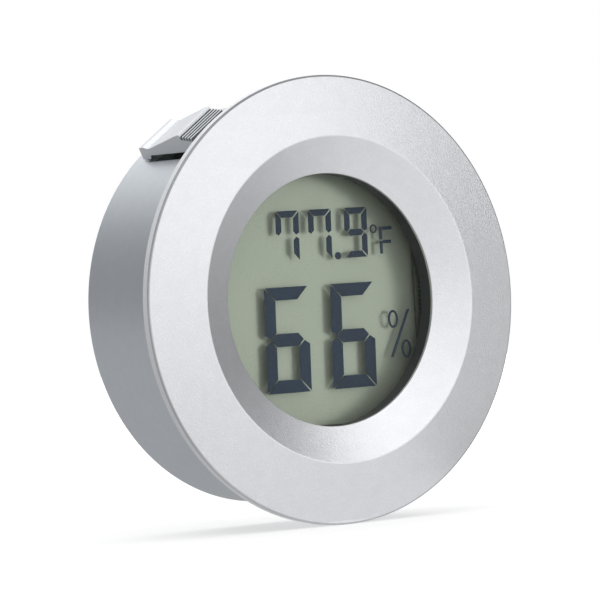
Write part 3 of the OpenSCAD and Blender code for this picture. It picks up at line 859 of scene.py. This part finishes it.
# soft panels all round: name, azimuth from and to (0 in front, + to the right), elevation from and to, level
softPanels = [
    ("frontSilk", -30, 60, -2, 45, 1.18), ("frontLeftSilk", -60, -30, -2, 45, 0.70),
    ("leftPanel", -120, -60, -2, 45, 0.52), ("rearLeftPanel", -180, -120, -2, 30, 0.26),
    ("rearLeftSilk", -180, -120, 30, 45, 0.85),
    ("darkFlag", 60, 90, -2, 45, 0.07), ("rightPanel", 90, 180, -2, 18, 0.60),
    ("rightRearSilk", 90, 180, 18, 45, 1.05), ("overheadSilk", -180, 180, 45, 90, 1.62),
]
# low cards just above the floor, near the object's foot and beyond: name, azimuth, radius from and to, level
lowCards = [("nearCard", -90, 90, 0.5, 24, 0.78), ("nearRearCard", 90, 270, 0.5, 24, 0.48),
            ("frontCard", -30, 60, 24, 700, 0.84), ("flagCard", 60, 90, 24, 700, 0.39),
            ("restCard", 90, 330, 24, 700, 0.50)]


def glowing(name, level, oneSided=False):
    # even light with the faint unevenness of stretched silk; a one-sided card is clear from below
    f = Finish(name)
    weave = f.grain(studio["silkWeave"], 2)
    f.set(Base_Color=(0, 0, 0), Roughness=1.0, Specular_IOR_Level=0.0, Emission_Strength=1.0,
          Emission_Color=f.blend(weave, (level * 0.97,) * 3, (level * 1.03,) * 3))
    if oneSided:
        back = next(s for s in f.add("NewGeometry") if s.socket.name == "Backfacing")
        f.mixWithClear(1 - back)
    return f


def polar(radius, azimuth, elevation):
    # azimuth 0 points to the front, -Y, and grows towards +X
    flat = radius * np.cos(elevation)
    return np.stack([flat * np.sin(azimuth), -flat * np.cos(azimuth), radius * np.sin(elevation)], axis=-1)


def sheetOf(name, grid):
    # a grid of points as a sheet of quads
    rows, columns = grid.shape[:2]
    i, j = np.meshgrid(np.arange(rows - 1), np.arange(columns - 1), indexing="ij")
    corner = i * columns + j
    quads = np.stack([corner, corner + columns, corner + columns + 1, corner + 1], axis=-1)
    return addMesh(name, grid.reshape(-1, 3), quads.reshape(-1, 4).tolist())


def flatFan(name, azFrom, azTo, columns, rings, height):
    # a level fan that faces up: x = r sin a, y = -r cos a
    azimuth, radius = np.meshgrid(np.radians(np.linspace(azFrom, azTo, columns)), np.array(rings),
                                  indexing="ij")
    fan = sheetOf(name, np.stack([radius * np.sin(azimuth), -radius * np.cos(azimuth), height + 0 * radius],
                                 axis=-1))
    if fan.data.polygons[0].normal.z < 0:
        fan.data.flip_normals()
    return fan


def hideFromView(piece):
    piece.visible_camera = False
    piece.visible_shadow = False


def makeTent():
    # the soft panels on a dome, and the low cards under it that only show from above
    columns, rows = studio["panelColumns"], studio["panelRows"]
    for name, azFrom, azTo, elFrom, elTo, level in softPanels:
        azimuth, elevation = np.meshgrid(np.radians(np.linspace(azFrom, azTo, columns)),
                                         np.radians(np.linspace(elFrom, elTo, rows)), indexing="ij")
        panel = sheetOf(name, polar(studio["tentR"], azimuth, elevation))
        paint([panel], glowing(name, level))
        hideFromView(panel)
    low = cadBox[0][2] / mm + studio["cardLift"]
    for name, azFrom, azTo, start, end, level in lowCards:
        card = flatFan(name, azFrom, azTo, columns, (start, end), low)
        paint([card], glowing(name, level, oneSided=True))
        hideFromView(card)


def makeFloor():
    # a pale round floor; the camera and mirrors see it white, and it keeps the object's shadow
    floor = flatFan("studioFloor", 0, 360, studio["floorColumns"], studio["floorRings"], cadBox[0][2] / mm)
    f = Finish("floorFinish")
    x, y, z = f.axes()
    span = studio["glowEnd"] - studio["glowStart"]
    away = (((x * x + y * y).power(0.5) - studio["glowStart"]) / span).limited()
    glow = f.blend(away, (studio["glowNear"],) * 3, (studio["glowFar"],) * 3)
    tone = studio["floorTone"]
    fine = f.grain(studio["floorGrain"], 2)
    f.set(Base_Color=f.blend(fine, (tone, tone, tone), (tone + 0.02,) * 3), Roughness=0.9,
          Emission_Color=f.blend(f.seen(), (0, 0, 0), glow), Emission_Strength=1.0)
    paint([floor], f)


def makeWorld():
    # plain white for the camera, mirrors and glass, and a soft grey light for everything else
    world = bpy.data.worlds.new("studioWorld")
    bpy.context.scene.world = world
    world.use_nodes = True
    world.node_tree.nodes.clear()
    n = Nodes(world.node_tree)
    soft = n.add("Background", {}, {"Color": (studio["worldSoft"],) * 3})[0]
    white = n.add("Background", {}, {"Color": (1, 1, 1)})[0]
    n.add("OutputWorld", {}, {"Surface": n.add("MixShader", {}, {0: n.seen(), 1: soft, 2: white})[0]})


makeFloor()
makeTent()
makeWorld()

# degrees, millimetres
viewSetup = dict(azimuth=-35.82, elevation=0.48, roll=-3.56, distance=450, lens=270.13, film=36, across=-3.51,
                 up=-0.045, depth=-1.0)


def makeCamera():
    # looks at the flange's centre from the left, with a slight roll
    a, e, r = (math.radians(viewSetup[k]) for k in ("azimuth", "elevation", "roll"))
    back = np.array([math.sin(a) * math.cos(e), -math.cos(a) * math.cos(e), math.sin(e)])
    level = np.cross([0, 0, 1], back)
    level /= np.linalg.norm(level)
    upright = np.cross(back, level)
    right = math.cos(r) * level + math.sin(r) * upright
    up = -math.sin(r) * level + math.cos(r) * upright
    place = (right * viewSetup["across"] + up * viewSetup["up"] + back * viewSetup["distance"]
             + np.array([0, viewSetup["depth"], 0])) * mm
    lens = bpy.data.cameras.new("viewCamera")
    lens.lens, lens.sensor_width = viewSetup["lens"], viewSetup["film"]
    lens.clip_start, lens.clip_end = 0.01, 20
    camera = bpy.data.objects.new("viewCamera", lens)
    turn = Matrix(np.column_stack([right, up, back]).tolist()).to_4x4()
    camera.matrix_world = Matrix.Translation(Vector(place.tolist())) @ turn
    bpy.context.scene.collection.objects.link(camera)
    bpy.context.scene.camera = camera


makeCamera()
bpy.context.scene.view_settings.view_transform = "Standard"
print("studio ready")
